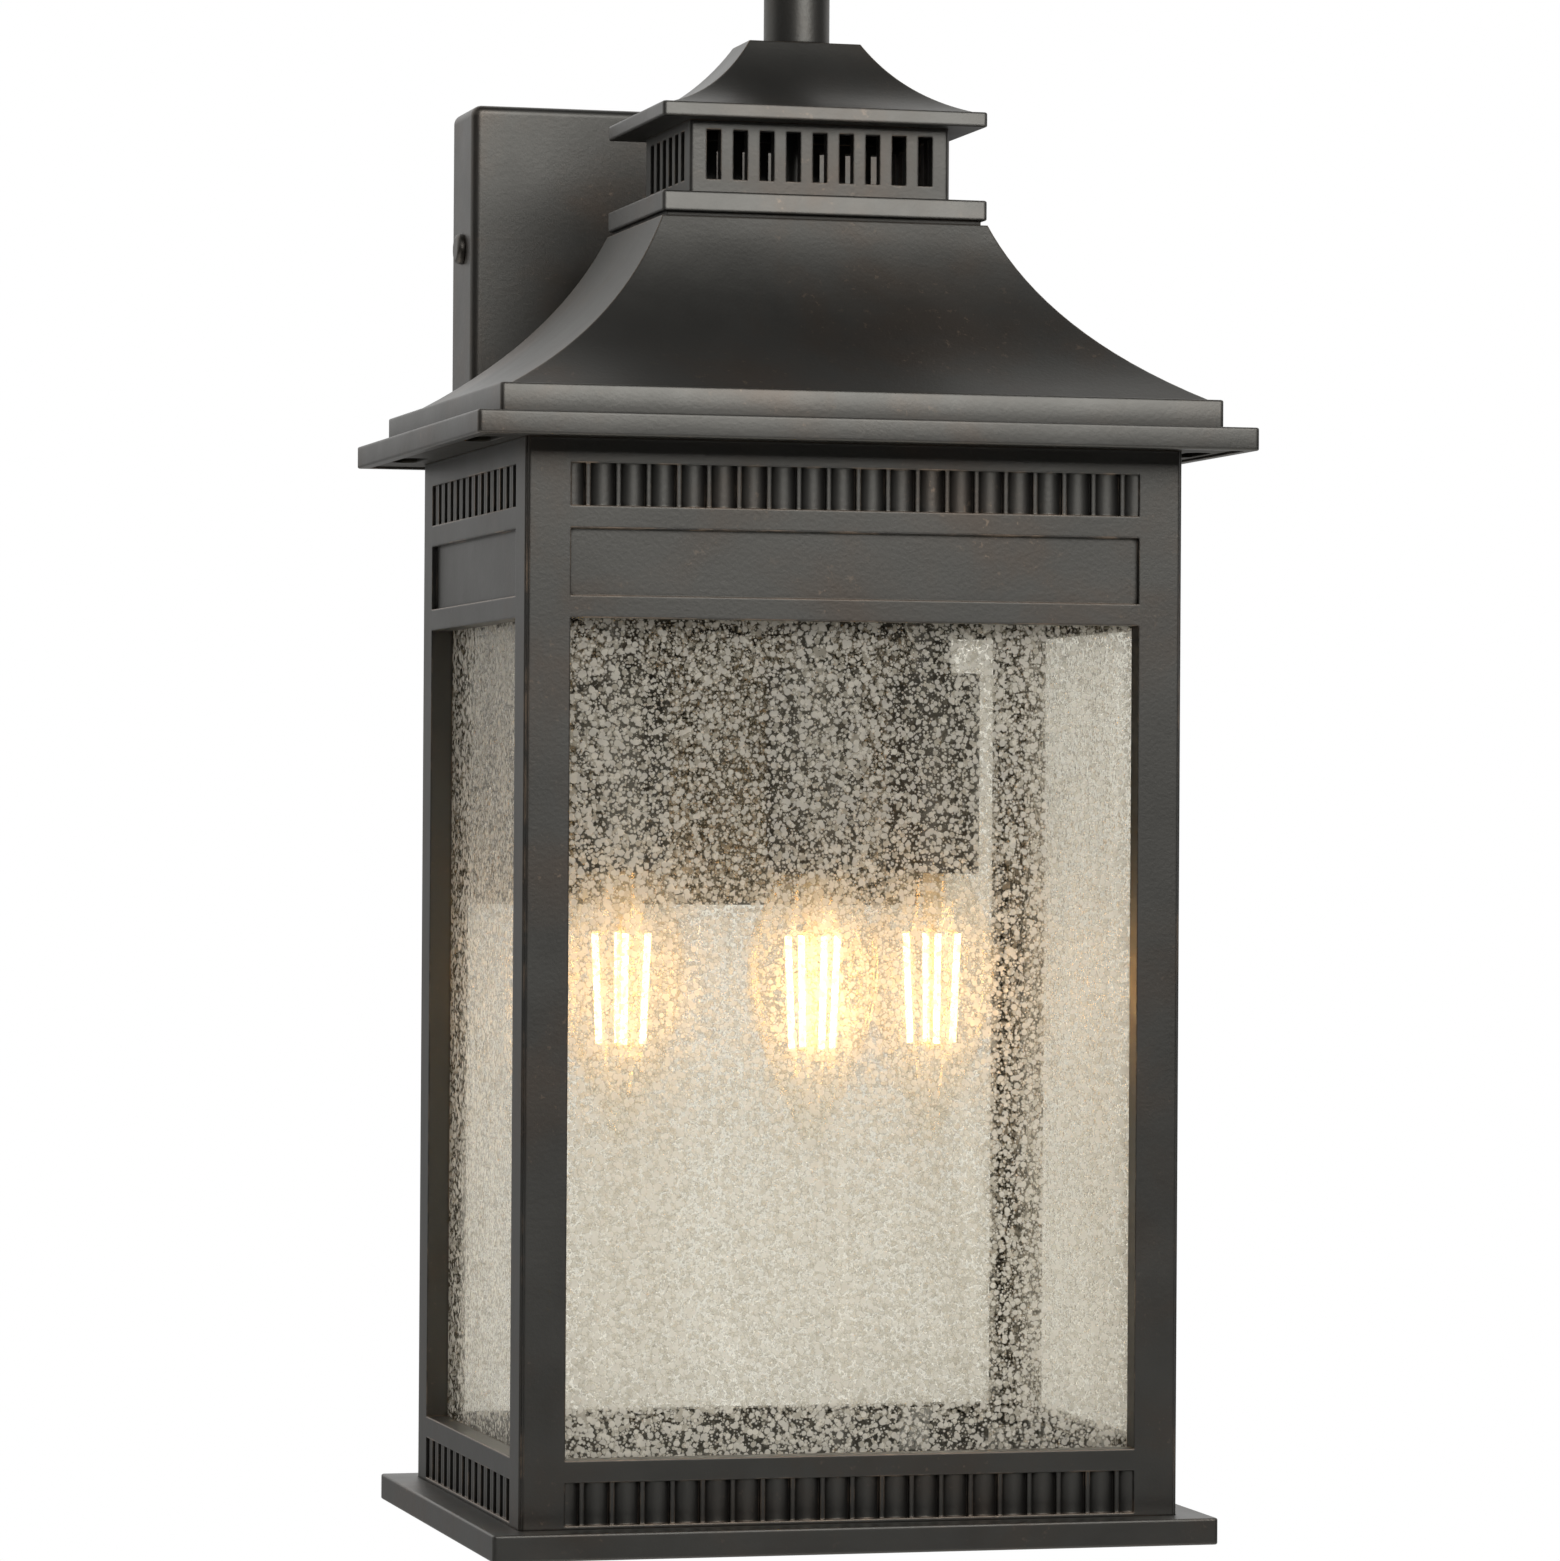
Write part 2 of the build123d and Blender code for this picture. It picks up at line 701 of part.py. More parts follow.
def bulb_solid(inset):
    curve = bulb_outline(inset)
    start, end = curve @ 0, curve @ 1
    outline = curve + Line(end, (0, start.Y)) + Line((0, start.Y), start)
    return revolve(Plane.XZ * make_face(outline), Axis.Z)


def bulb_glass(x, y):
    return Pos(x, y, 0) * (bulb_solid(0) - bulb_solid(bulb_wall))


def strand(start, end, radius):
    """A straight round strand between two points."""
    line = Line(start, end)
    return sweep(Plane(origin=start, z_dir=line % 0) * Circle(radius), line)


def filament_ends(index):
    angle = 2 * math.pi * (index + 0.5) / filament_count
    top = skirt_low - filament_start
    high = (filament_top_ring * math.cos(angle), filament_top_ring * math.sin(angle), top)
    low = (filament_end_ring * math.cos(angle), filament_end_ring * math.sin(angle), top - filament_length)
    return high, low


def filaments(x, y, turn):
    place = Pos(x, y, 0) * Rot(0, 0, turn)
    return [place * strand(*filament_ends(index), filament_radius) for index in range(filament_count)]


def bulb_stem(x, y, turn):
    """Glass stem and the wire supports that carry the filaments at both ends."""
    top = skirt_low - filament_start
    end = top - filament_length
    stem_low = top + stem_glass_rise
    core = post(stem_glass_radius, stem_low, skirt_low)
    core += post(hub_radius, end - hub_tail, stem_low + hub_lap)
    for index in range(filament_count):
        high, low = filament_ends(index)
        core += strand((0, 0, top + hub_tail), high, support_radius)
        core += strand((0, 0, end - hub_tail / 2), low, support_radius)
    for index in range(filament_count):
        core -= strand(*filament_ends(index), filament_radius)
    return Pos(x, y, 0) * Rot(0, 0, turn) * core


def wall_arm():
    """Cast spacer with a flange at each end, bored for the wires and two bolts."""
    z = arm_centre_rise
    span = (half_depth, backplate_front)
    arm = block((-arm_width / 2, arm_width / 2), span, (z - arm_height / 2, z + arm_height / 2))
    arm = fillet(arm.edges().filter_by(Axis.Y), arm_round)
    spans = (
        (half_depth, half_depth + arm_flange_thickness / 2, arm_pad_width, arm_pad_height),
        (backplate_front - arm_flange_thickness, backplate_front, arm_flange_width, arm_flange_height),
    )
    for y_low, y_high, width, height in spans:
        flange = block((-width / 2, width / 2), (y_low, y_high), (z - height / 2, z + height / 2))
        arm += fillet(flange.edges().filter_by(Axis.Y), arm_round)
    arm -= rod_along_y(wire_hole_radius, half_depth - 1, backplate_front + 1, 0, z)
    for x in (-arm_bolt_spacing / 2, arm_bolt_spacing / 2):
        arm -= rod_along_y(arm_bolt_radius + arm_bolt_gap, half_depth - 1, backplate_front + 1, x, z)
    return arm


def lying_hexagon(flat_radius, y_low, y_high, x):
    sketch = RegularPolygon(flat_radius, 6, major_radius=False)
    return Pos(x, y_high, arm_centre_rise) * Rot(90, 0, 0) * extrude(sketch, y_high - y_low)


def arm_bolt(x):
    bolt = lying_hexagon(arm_bolt_flat_radius, inner_half_depth - arm_bolt_head_height, inner_half_depth, x)
    end = arm_nut_seat + arm_nut_thickness + arm_bolt_tail
    return bolt + rod_along_y(arm_bolt_radius, inner_half_depth, end, x, arm_centre_rise)


def arm_nut(x):
    nut = lying_hexagon(arm_bolt_flat_radius, arm_nut_seat, arm_nut_seat + arm_nut_thickness, x)
    return nut - rod_along_y(arm_bolt_radius + thread_gap, arm_nut_seat - 1, reach, x, arm_centre_rise)


def side_screw_places():
    """Side and height of each screw through the edge of the backplate."""
    return [(sx, base_drop + sz * side_screw_spacing / 2) for sx in (-1, 1) for sz in (-1, 1)]


def backplate():
    """Cast cover, open to the wall."""
    half_x, half_z = backplate_width / 2, backplate_height / 2
    cover = block((-half_x, half_x), (backplate_front, reach), (base_drop - half_z, base_drop + half_z))
    cover = fillet(cover.edges().filter_by(Axis.Y), backplate_round)
    cover = fillet(cover.edges().group_by(Axis.Y)[0], backplate_round * 0.8)
    inner_x, inner_z = half_x - backplate_wall, half_z - backplate_wall
    cover -= block((-inner_x, inner_x), (arm_nut_seat, reach + 1), (base_drop - inner_z, base_drop + inner_z))
    cover -= rod_along_y(wire_hole_radius, backplate_front - 1, reach, 0, arm_centre_rise)
    for x in (-arm_bolt_spacing / 2, arm_bolt_spacing / 2):
        cover -= rod_along_y(arm_bolt_radius + arm_bolt_gap, backplate_front - 1, reach, x, arm_centre_rise)
    for sx, z in side_screw_places():
        ends = sorted((sx * (half_x + 1), sx * (inner_x - 1)))
        cover -= rod_along_x(side_screw_radius + arm_bolt_gap, *ends, side_screw_y, z)
    return cover


def mounting_bracket():
    """Sheet channel against the wall; its flanges take the side screws."""
    half_x = backplate_width / 2 - backplate_wall - bracket_gap
    z_span = (base_drop - bracket_height / 2, base_drop + bracket_height / 2)
    channel = block((-half_x, half_x), (reach - bracket_flange, reach), z_span)
    inner_x = half_x - bracket_sheet
    trough = (reach - bracket_flange - 1, reach - bracket_sheet)
    channel -= block((-inner_x, inner_x), trough, (z_span[0] - 1, z_span[1] + 1))
    for x in (-box_screw_spacing / 2, box_screw_spacing / 2):
        slot = Pos(x, 0) * SlotOverall(box_slot_length, box_slot_width)
        channel -= Pos(0, reach + 1, base_drop) * Rot(90, 0, 0) * extrude(slot, bracket_sheet + 2)
    for z in (base_drop - wire_window_rise, base_drop + wire_window_rise):
        channel -= rod_along_y(wire_window_radius, reach - bracket_sheet - 1, reach + 1, 0, z)
    hole = ground_screw_radius + thread_gap
    channel -= rod_along_y(hole, reach - bracket_sheet - 1, reach + 1, ground_screw_offset, base_drop)
    for sx, z in side_screw_places():
        ends = sorted((sx * (half_x + 1), sx * (inner_x - 1)))
        channel -= rod_along_x(side_screw_radius + thread_gap, *ends, side_screw_y, z)
    return channel


def side_screw(sx, z):
    face = backplate_width / 2
    inner = face - backplate_wall - bracket_gap - bracket_sheet - side_screw_reach
    outer = face + side_head_height
    screw = rod_along_x(side_screw_radius, *sorted((sx * inner, sx * face)), side_screw_y, z)
    head = rod_along_x(side_head_radius, *sorted((sx * face, sx * outer)), side_screw_y, z)
    outer_rim = head.edges().filter_by(GeomType.CIRCLE).group_by(Axis.X)[-1 if sx > 0 else 0]
    return screw + fillet(outer_rim, side_head_height * 0.6)


def ground_screw():
    seat = reach - bracket_sheet
    screw = rod_along_y(ground_screw_radius, seat, reach - thread_gap, ground_screw_offset, base_drop)
    head = rod_along_y(ground_head_radius, seat - ground_head_height, seat, ground_screw_offset, base_drop)
    return screw + head


os.makedirs("parts", exist_ok=True)

for side in frame_turn:
    save(side + "_frame", [body_frame(side)])
    save(side + "_glass", [glass_pane(side)])

clips, small_screws = [], []
for side, (_, _, width) in frame_turn.items():
    for x, up in clip_places(width / 2 - post_width):
        clips.append(to_side(side, glass_clip(x, up)))
        small_screws.append(to_side(side, clip_screw(x, up)))
save("glass_clips", clips)
save("clip_screws", small_screws)

all_corners = corners(1, 1)
save("corner_blocks", [corner_block(sx, sy, z) for sx, sy in all_corners for z in block_levels])
save(
    "frame_screws",
    [frame_screw(sx, sy, z, along) for sx, sy in all_corners for z in block_levels for along in ("x", "y")],
)
tie_places = corners(block_centre_x, block_centre_y)
save("base_ring", [base_ring()])
save("base_screws", [base_screw(x, y) for x, y in tie_places])
save("soffit_plate", [soffit_plate()])
save("soffit_screws", [soffit_screw(x, y) for x, y in tie_places])

save("roof_shell", [roof_shell()])
save("roof_collar", [roof_collar()])
save("cupola", [cupola()])
save("cupola_roof", [cupola_roof()])
save("stem", [stem()])
save("finial", [finial()])
save("clamp_rod", [clamp_rod()])
save("rod_nuts", rod_nuts())

for name, (x, y) in candles.items():
    save(name + "_sleeve", [sleeve(x, y)])
    save(name + "_socket", [socket(x, y)])
    save(name + "_bulb_glass", [bulb_glass(x, y)])
    save(name + "_bulb_base", [bulb_base(x, y)])
    save(name + "_bulb_stem", [bulb_stem(x, y, filament_turns[name])])
    save(name + "_filaments", filaments(x, y, filament_turns[name]))
save("socket_nipples", [nipple(x, y) for x, y in candles.values()])
save("nipple_nuts", [nut for x, y in candles.values() for nut in jam_nuts(x, y)])

bolt_places = (-arm_bolt_spacing / 2, arm_bolt_spacing / 2)
save("wall_arm", [wall_arm()])
save("arm_bolts", [arm_bolt(x) for x in bolt_places])
save("arm_nuts", [arm_nut(x) for x in bolt_places])
save("backplate", [backplate()])
save("mounting_bracket", [mounting_bracket()])
save("side_screws", [side_screw(sx, z) for sx, z in side_screw_places()])
save("ground_screw", [ground_screw()])
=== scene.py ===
import json
import math

import bpy
from mathutils import Matrix, Vector

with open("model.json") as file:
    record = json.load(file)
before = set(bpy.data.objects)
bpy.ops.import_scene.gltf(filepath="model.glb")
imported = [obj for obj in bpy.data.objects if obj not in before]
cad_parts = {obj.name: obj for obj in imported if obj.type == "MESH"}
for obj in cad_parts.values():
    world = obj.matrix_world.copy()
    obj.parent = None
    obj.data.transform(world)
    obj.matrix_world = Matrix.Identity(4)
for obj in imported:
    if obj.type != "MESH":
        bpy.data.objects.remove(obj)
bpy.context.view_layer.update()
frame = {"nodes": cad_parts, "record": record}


class Net:
    """The nodes of a material or a world. A material's points are metres in the part's frame."""

    def __init__(self, data, space="Object"):
        self.data = data
        data.use_nodes = True
        self.tree = data.node_tree
        self.tree.nodes.clear()
        self.point = self.add("ShaderNodeTexCoord").outputs[space]

    def add(self, kind, inputs=(), **settings):
        node = self.tree.nodes.new(kind)
        for key, value in settings.items():
            setattr(node, key, value)
        for key, value in dict(inputs).items():
            socket = node.inputs[key]
            if isinstance(value, bpy.types.NodeSocket):
                self.tree.links.new(value, socket)
            else:
                socket.default_value = value
        return node

    def stretched(self, x, y, z):
        """The texture point with each axis scaled, so that spots grow along the small ones."""
        return self.add("ShaderNodeMapping", {0: self.point, "Scale": (x, y, z)}).outputs[0]

    def noise(self, per_metre, detail=3.0, roughness=0.5, distortion=0.0, at=None):
        inputs = {
            "Vector": at or self.point,
            "Scale": per_metre,
            "Detail": detail,
            "Roughness": roughness,
            "Distortion": distortion,
        }
        return self.add("ShaderNodeTexNoise", inputs).outputs[0]

    def cells(self, per_metre, at=None):
        """Distance from the middle of each cell, and a random colour for each."""
        node = self.add("ShaderNodeTexVoronoi", {"Vector": at or self.point, "Scale": per_metre})
        return node.outputs["Distance"], node.outputs["Color"]

    def ramp(self, value, low, high, to_low=0.0, to_high=1.0):
        """Goes smoothly from to_low, where the value is low, to to_high, where it is high."""
        inputs = {"Value": value, "From Min": low, "From Max": high, "To Min": to_low, "To Max": to_high}
        return self.add("ShaderNodeMapRange", inputs, interpolation_type="SMOOTHSTEP").outputs[0]

    def math(self, operation, a, b):
        return self.add("ShaderNodeMath", {0: a, 1: b}, operation=operation).outputs[0]

    def plus(self, a, b):
        return self.math("ADD", a, b)

    def minus(self, a, b):
        return self.math("SUBTRACT", a, b)

    def times(self, a, b):
        return self.math("MULTIPLY", a, b)

    def larger(self, a, b):
        return self.math("MAXIMUM", a, b)

    def mix(self, factor, a, b):
        """Colour a where the factor is 0, b where it is 1."""
        return self.add("ShaderNodeMix", {0: factor, 6: a, 7: b}, data_type="RGBA").outputs[2]

    def blend(self, factor, a, b):
        """Number a where the factor is 0, b where it is 1."""
        return self.add("ShaderNodeMix", {0: factor, 2: a, 3: b}).outputs[0]

    def bump(self, height, metres, normal=None):
        """Relief, in which a height of 1 stands for so many metres."""
        inputs = {"Height": height, "Distance": metres}
        if normal:
            inputs["Normal"] = normal
        return self.add("ShaderNodeBump", inputs).outputs[0]

    def split(self, vector):
        return self.add("ShaderNodeSeparateXYZ", {0: vector}).outputs

    def gap_shade_mask(self, reach):
        """Mask for painted shade: 1 in corners and in gaps about as narrow as reach, 0 on open faces."""
        node = self.add("ShaderNodeAmbientOcclusion", {"Distance": reach}, samples=8)
        open_face, deep_gap = 0.80, 0.35
        return self.ramp(node.outputs["AO"], open_face, deep_gap)

    def rounded(self, radius):
        """The surface's normal, as if its sharp edges were rounded."""
        return self.add("ShaderNodeBevel", {"Radius": radius}, samples=6).outputs[0]

    def worn_edges(self, normal):
        """1 along sharp edges, 0 on faces, from how far the rounded normal leans off the true one."""
        true = self.add("ShaderNodeNewGeometry").outputs["Normal"]
        dot = self.add("ShaderNodeVectorMath", {0: normal, 1: true}, operation="DOT_PRODUCT")
        on_face, on_edge = 0.995, 0.86
        return self.ramp(dot.outputs["Value"], on_face, on_edge)

    def principled(self, **inputs):
        """Each input is named as its socket is, in small letters with underscores."""
        named = {key.replace("_", " ").title(): value for key, value in inputs.items()}
        if "Ior" in named:
            named["IOR"] = named.pop("Ior")
        return self.add("ShaderNodeBsdfPrincipled", named).outputs[0]

    def sheen(self, face_on, edge_on):
        """How much clear glass reflects, alike on both sides of the surface."""
        facing = self.add("ShaderNodeLayerWeight", {"Blend": 0.5}).outputs["Facing"]
        steep = self.times(self.math("POWER", facing, 5.0), edge_on - face_on)
        return self.plus(steep, face_on)

    def see_through(self, cover, solid, tint):
        """Shows solid where cover is 1 and what is behind, through the tint, where it is 0."""
        clear = self.add("ShaderNodeBsdfTransparent", {"Color": tint}).outputs[0]
        return self.add("ShaderNodeMixShader", {0: cover, 1: clear, 2: solid}).outputs[0]

    def done(self, shader):
        self.add("ShaderNodeOutputMaterial", {"Surface": shader})
        return self.data


def new_net(name):
    return Net(bpy.data.materials.new(name))


def rgb(r, g, b):
    return (r, g, b, 1.0)


millimetre = 0.001

# Upright edge faces of the roof castings, in the part's frame: low and high edge in metres, then how much
# the face swells in its middle and how much it leans back, in millimetres.
eave_faces = (
    (0.0088, 0.0149, 0.12, 0.12),
    (0.0149, 0.0225, 0.25, 0.50),
    (0.0723, 0.0777, 0.0, 0.65),
    (0.0975, 0.1015, 0.0, 0.42),
)
# Nothing of the roof lies nearer to the wall than this, and the backplate has no such relief.
roof_rear = -0.030


def cast_relief(net):
    """Height of the soft relief on the roof's edge faces, in millimetres."""
    _, y, z = net.split(net.point)
    relief = 0.0
    for low, high, swell, lean in eave_faces:
        up = net.math("DIVIDE", net.minus(z, low), high - low)
        inside = net.times(net.math("GREATER_THAN", up, 0.0), net.math("LESS_THAN", up, 1.0))
        crown = net.times(up, net.minus(1.0, up))
        height = net.times(crown, 4.0 * swell)
        height = net.plus(height, net.times(net.minus(1.0, up), lean))
        relief = net.plus(relief, net.times(height, inside))
    return net.times(relief, net.math("LESS_THAN", y, roof_rear))


def dark_bronze(name, dark, brown, worn, gloss):
    """Satin dark bronze: brown shows through in soft clouds and the edges are rubbed brighter. Edges that
    face up also get a painted highlight, and painted shade darkens the corners and gaps."""
    edge_radius, gap = 0.7 * millimetre, 1.8 * millimetre
    grain_height, wave_height = 0.04 * millimetre, 0.35 * millimetre
    painted_shade_colour = rgb(0.012, 0.010, 0.008)

    net = new_net(name)
    soft = net.rounded(edge_radius)
    clouds = net.ramp(net.noise(22, detail=4, roughness=0.6, distortion=0.4), 0.45, 0.72)
    flecks = net.ramp(net.noise(420, detail=3, roughness=0.7), 0.60, 0.72)
    # Edges are rubbed lighter in noisy patches, which is wear. Edges that face up are also lightened
    # along their whole length, which is a painted highlight of the light from above.
    upward_edge_highlight = net.ramp(net.split(soft)[2], 0.10, 0.50, 0.0, 0.6)
    patches = net.larger(upward_edge_highlight, net.ramp(net.noise(75, detail=3, roughness=0.6), 0.48, 0.66))
    rub_and_top_highlight = net.times(net.worn_edges(soft), patches)

    colour = net.mix(net.times(clouds, 0.6), dark, brown)
    colour = net.mix(net.times(flecks, net.times(clouds, 0.35)), colour, worn)
    colour = net.mix(net.times(rub_and_top_highlight, 0.75), colour, worn)
    # Painted shade: corners and narrow gaps are darkened towards near black, where light from above is
    # blocked, and made a little rougher.
    painted_shade = net.gap_shade_mask(gap)
    colour = net.mix(net.times(painted_shade, 0.6), colour, painted_shade_colour)

    rough = net.plus(gloss, net.times(net.noise(48, detail=5, roughness=0.65), 0.14))
    rough = net.plus(rough, net.times(painted_shade, 0.2))

    grain = net.bump(net.noise(900, detail=3, roughness=0.6), grain_height, soft)
    waves = net.bump(net.noise(26, detail=1, roughness=0.5), wave_height, grain)
    relief = net.bump(cast_relief(net), millimetre, waves)
    return net.done(net.principled(base_color=colour, metallic=1.0, roughness=rough, normal=relief))


# The seeds in the panes come in three sizes: cells per metre, and a seed's size within its cell.
seed_sizes = ((1000, 0.85), (620, 0.80), (290, 0.50))


def seeded_glass():
    """Clear pane full of seeds and fine upright ripples. A seed scatters the light that falls on it."""
    # The seeds' brownish warm colour is warm light from the bulbs painted in on top of their pale
    # scatter.
    seed_colour_painted_warm = rgb(0.69, 0.65, 0.565)
    thin_tint, thick_tint = rgb(0.998, 0.992, 0.962), rgb(0.97, 0.962, 0.93)
    clear_cover, seed_cover = 0.10, 0.75
    clear_rough, seed_rough = 0.05, 0.75

    net = new_net("seeded_glass")
    ripple = net.noise(30, detail=4, roughness=0.6, distortion=0.6, at=net.stretched(1, 1, 0.14))
    density = net.ramp(ripple, 0.30, 0.72, 0.50, 0.72)
    seeds = 0.0
    for per_metre, size in seed_sizes:
        distance, colour = net.cells(per_metre)
        radius = net.times(net.times(density, size), net.ramp(colour, 0.2, 0.9, 0.1, 1.4))
        edge = net.math("DIVIDE", distance, radius)
        seeds = net.larger(seeds, net.ramp(edge, 1.0, 0.6))
    upright = net.noise(130, detail=3, roughness=0.6, distortion=0.5, at=net.stretched(1, 1, 0.05))
    scatter = net.larger(seeds, net.ramp(upright, 0.5, 0.8, 0.0, 0.10))

    cover = net.larger(net.sheen(0.04, 1.0), net.ramp(scatter, 0.0, 1.0, clear_cover, seed_cover))
    metal = net.ramp(scatter, 0.05, 0.0)
    rough = net.ramp(scatter, 0.0, 0.2, clear_rough, seed_rough)
    normal = net.bump(net.plus(seeds, net.times(ripple, 2.0)), 0.2 * millimetre)
    solid = net.principled(base_color=seed_colour_painted_warm, metallic=metal, transmission_weight=0.6,
                           roughness=rough, ior=1.45, normal=normal)
    tint = net.mix(net.ramp(ripple, 0.3, 0.7), thin_tint, thick_tint)
    return net.done(net.see_through(cover, solid, tint))


def bulb_glass():
    """Thin clear glass that shows by its reflections, with a faint tint."""
    net = new_net("bulb_glass")
    haze = net.times(net.noise(160, detail=3, roughness=0.6), 0.07)
    cover = net.plus(net.sheen(0.03, 0.6), haze)
    normal = net.bump(net.noise(90, detail=2, roughness=0.5), 0.1 * millimetre)
    solid = net.principled(base_color=rgb(0.9, 0.88, 0.82), metallic=0.5, roughness=0.08, normal=normal)
    return net.done(net.see_through(cover, solid, rgb(0.98, 0.975, 0.96)))


def stem_glass():
    """The bulb's inner glass stem: cloudier than the bulb, with a warm tint."""
    net = new_net("bulb_stem")
    haze = net.ramp(net.noise(300, detail=3, roughness=0.6), 0.3, 0.7, 0.30, 0.50)
    cover = net.plus(net.sheen(0.04, 0.7), haze)
    solid = net.principled(base_color=rgb(0.92, 0.86, 0.72), metallic=0.0, roughness=0.15)
    return net.done(net.see_through(cover, solid, rgb(0.97, 0.96, 0.93)))


def glowing_filament():
    """Coated strip: its light comes through the yellow coating, a little weaker between the chips."""
    coating, glow = rgb(0.95, 0.72, 0.22), 18.0
    net = new_net("filament")
    distance, _ = net.cells(900, net.stretched(0.2, 0.2, 1))
    chips = net.ramp(distance, 0.1, 0.7, 1.0, 0.82)
    colour = net.mix(chips, rgb(1.0, 0.45, 0.11), rgb(1.0, 0.60, 0.24))
    return net.done(net.principled(base_color=coating, roughness=0.55,
                                   emission_color=colour, emission_strength=glow))


def plain_metal(name, colour, dull, rough):
    """Bare or plated metal with fine grain and slightly dulled patches."""
    edge_radius, grain_height = 0.4 * millimetre, 0.04 * millimetre
    net = new_net(name)
    patches = net.ramp(net.noise(70, detail=4, roughness=0.6), 0.35, 0.7)
    tone = net.mix(patches, colour, dull)
    soft = net.rounded(edge_radius)
    roughness = net.ramp(net.noise(120, detail=4, roughness=0.6), 0.3, 0.7, rough, rough + 0.15)
    normal = net.bump(net.noise(600, detail=3, roughness=0.6), grain_height, soft)
    return net.done(net.principled(base_color=tone, metallic=1.0, roughness=roughness, normal=normal))


def painted(name, colour, worn, rough):
    """Paint or moulded plastic with a fine even texture."""
    edge_radius, grain_height = 0.5 * millimetre, 0.05 * millimetre
    net = new_net(name)
    soft = net.rounded(edge_radius)
    tone = net.mix(net.ramp(net.noise(45, detail=4, roughness=0.6), 0.4, 0.75), colour, worn)
    roughness = net.ramp(net.noise(260, detail=3, roughness=0.6), 0.3, 0.7, rough, rough + 0.12)
    normal = net.bump(net.noise(1100, detail=2, roughness=0.6), grain_height, soft)
    return net.done(net.principled(base_color=tone, metallic=0.0, roughness=roughness, normal=normal))


finishes = {
    "dark_bronze": dark_bronze("dark_bronze", rgb(0.104, 0.101, 0.093), rgb(0.115, 0.091, 0.073),
                               rgb(0.42, 0.31, 0.22), 0.35),
    "inner_sheet": dark_bronze("inner_sheet", rgb(0.040, 0.036, 0.028), rgb(0.050, 0.038, 0.028),
                               rgb(0.12, 0.09, 0.06), 0.46),
    "candle_sleeve": dark_bronze("candle_sleeve", rgb(0.13, 0.125, 0.115), rgb(0.13, 0.105, 0.085),
                                 rgb(0.34, 0.26, 0.19), 0.30),
    "seeded_glass": seeded_glass(),
    "bulb_glass": bulb_glass(),
    "bulb_stem": stem_glass(),
    "filament": glowing_filament(),
    "plated_steel": plain_metal("plated_steel", rgb(0.58, 0.58, 0.56), rgb(0.42, 0.41, 0.38), 0.32),
    "bulb_base": plain_metal("bulb_base", rgb(0.72, 0.66, 0.50), rgb(0.55, 0.48, 0.34), 0.26),
    "green_screw": painted("green_screw", rgb(0.05, 0.30, 0.10), rgb(0.08, 0.24, 0.10), 0.38),
    "socket_body": painted("socket_body", rgb(0.03, 0.03, 0.03), rgb(0.05, 0.048, 0.045), 0.55),
}
for part in frame["record"]["subparts"]:
    node = frame["nodes"][part["node"]]
    material = finishes[part["material_slot"]]
    if node.material_slots:
        for slot in node.material_slots:
            slot.material = material
    else:
        node.data.materials.append(material)


def placed(name, data):
    """A new object in the scene."""
    obj = bpy.data.objects.new(name, data)
    bpy.context.scene.collection.objects.link(obj)
    return obj


def softbox(name, place, target, width, height, radiance):
    """A rectangular lamp, aimed at the target, that looks radiance times as bright as white."""
    data = bpy.data.lights.new(name, "AREA")
    data.shape = "RECTANGLE"
    data.size = width
    data.size_y = height
    data.energy = radiance * math.pi * width * height
    lamp = placed(name, data)
    lamp.location = place
    lamp.rotation_euler = (Vector(target) - Vector(place)).to_track_quat("-Z", "Y").to_euler()
    lamp.visible_camera = False


def pale_floor():
    """Plain floor well below the light, in faintly uneven pale grey."""
    side, front, low = 2.0, -1.6, -0.85
    corners = [(-side, front, low), (side, front, low), (side, side, low), (-side, side, low)]
    mesh = bpy.data.meshes.new("floor")
    mesh.from_pydata(corners, [], [(0, 1, 2, 3)])
    floor = placed("floor", mesh)
    net = new_net("floor")
    patches = net.ramp(net.noise(6, detail=4, roughness=0.6), 0.3, 0.7)
    tone = net.mix(patches, rgb(0.80, 0.80, 0.79), rgb(0.76, 0.76, 0.75))
    mesh.materials.append(net.done(net.principled(base_color=tone, roughness=0.8)))


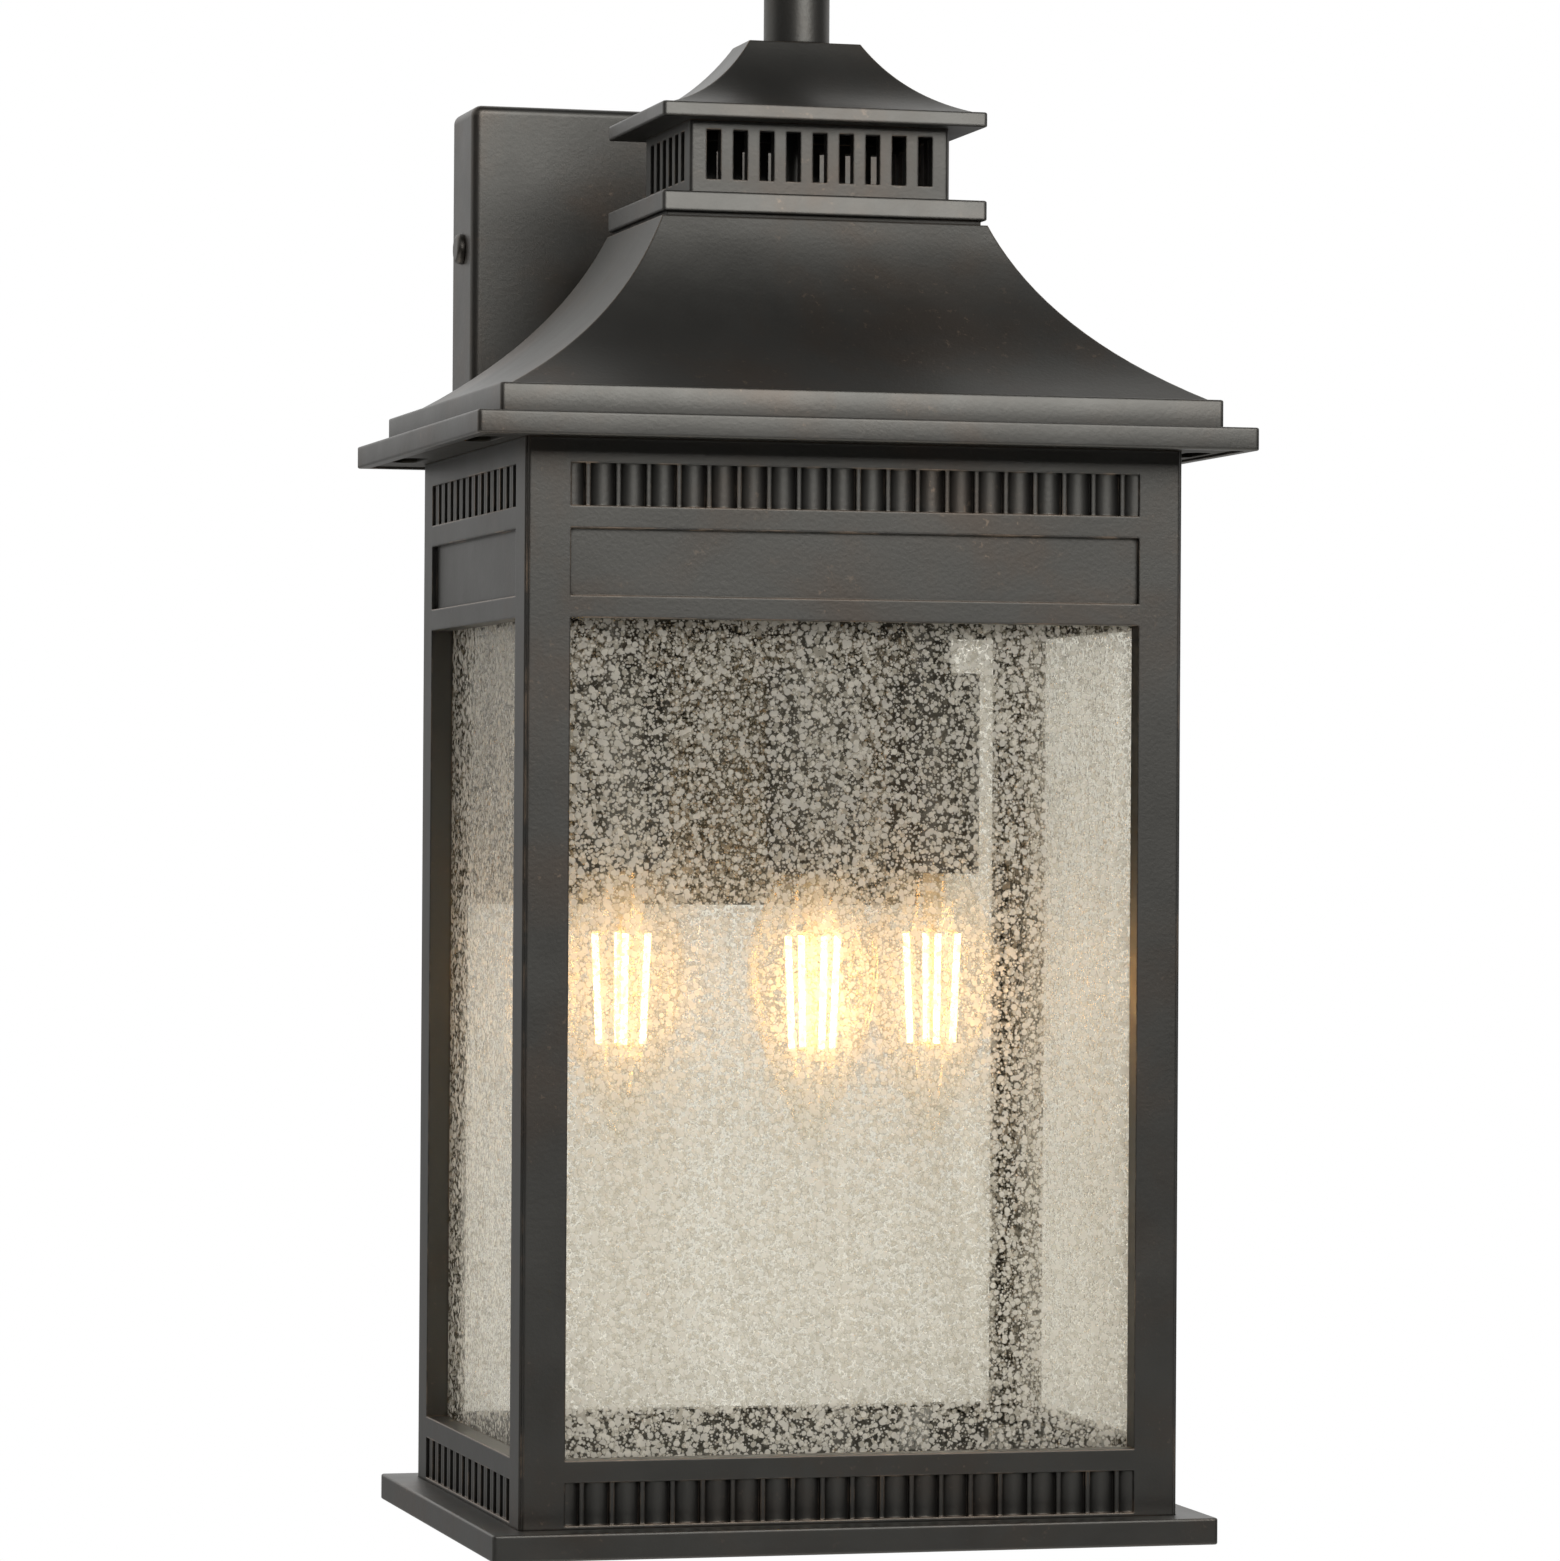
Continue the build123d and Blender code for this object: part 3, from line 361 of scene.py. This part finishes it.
def surround():
    """A white surround to look at, and a softer one to be lit by and to reflect. Its y and z are those of
    a ray's direction, so y is 1 straight behind the light and z is 1 straight above it."""
    seen_level, ambient_level = 1.0, 0.85
    world = bpy.data.worlds.new("studio")
    bpy.context.scene.world = world
    sky = Net(world, "Generated")
    _, y, z = sky.split(sky.point)
    far = sky.times(sky.ramp(z, -0.05, 0.22, 0.28, 1.0), sky.ramp(z, 0.25, 0.60, 1.0, 1.15))
    near = sky.times(sky.ramp(z, 0.10, 0.45, 0.01, 0.42), sky.ramp(z, 0.60, 0.92, 1.0, 0.18))
    behind = sky.times(sky.ramp(y, -0.02, 0.40), sky.ramp(z, 1.0, 0.78))
    reflected = sky.blend(behind, near, far)
    path = sky.add("ShaderNodeLightPath").outputs
    seen = sky.larger(path["Is Camera Ray"], path["Is Transmission Ray"])
    level = sky.blend(path["Is Glossy Ray"], ambient_level, reflected)
    level = sky.blend(seen, level, seen_level)
    background = sky.add("ShaderNodeBackground", {"Color": rgb(1.0, 1.0, 1.0), "Strength": level})
    sky.add("ShaderNodeOutputWorld", {"Surface": background.outputs[0]})


def camera():
    """The photograph's viewpoint: long lens, a little to the left of the front, almost level."""
    yaw, pitch, roll = (math.radians(angle) for angle in (14.773, 0.428, 0.362))
    place = Vector((-0.41746, -1.68743, -0.09052))
    forward = Vector((math.sin(yaw) * math.cos(pitch), math.cos(yaw) * math.cos(pitch), math.sin(pitch)))
    level = Vector((math.cos(yaw), -math.sin(yaw), 0.0))
    upright = level.cross(forward)
    across = math.cos(roll) * level + math.sin(roll) * upright
    up = math.cos(roll) * upright - math.sin(roll) * level
    data = bpy.data.cameras.new("camera")
    data.sensor_fit = "HORIZONTAL"
    data.sensor_width = 36.0
    data.lens = 137.924
    data.clip_start = 0.05
    obj = placed("camera", data)
    turn = Matrix((across, up, -forward)).transposed().to_4x4()
    obj.matrix_world = Matrix.Translation(place) @ turn
    bpy.context.scene.camera = obj


pale_floor()
surround()
softbox("key", place=(0.40, -1.60, 0.74), target=(0.40, 0.0, 0.26), width=1.1, height=0.90, radiance=5.1)
camera()

# A ray may cross both faces of several panes, bulbs and stems.
clear_faces_crossed = 24
scene = bpy.context.scene
scene.view_settings.view_transform = "Standard"
scene.cycles.transparent_max_bounces = clear_faces_crossed
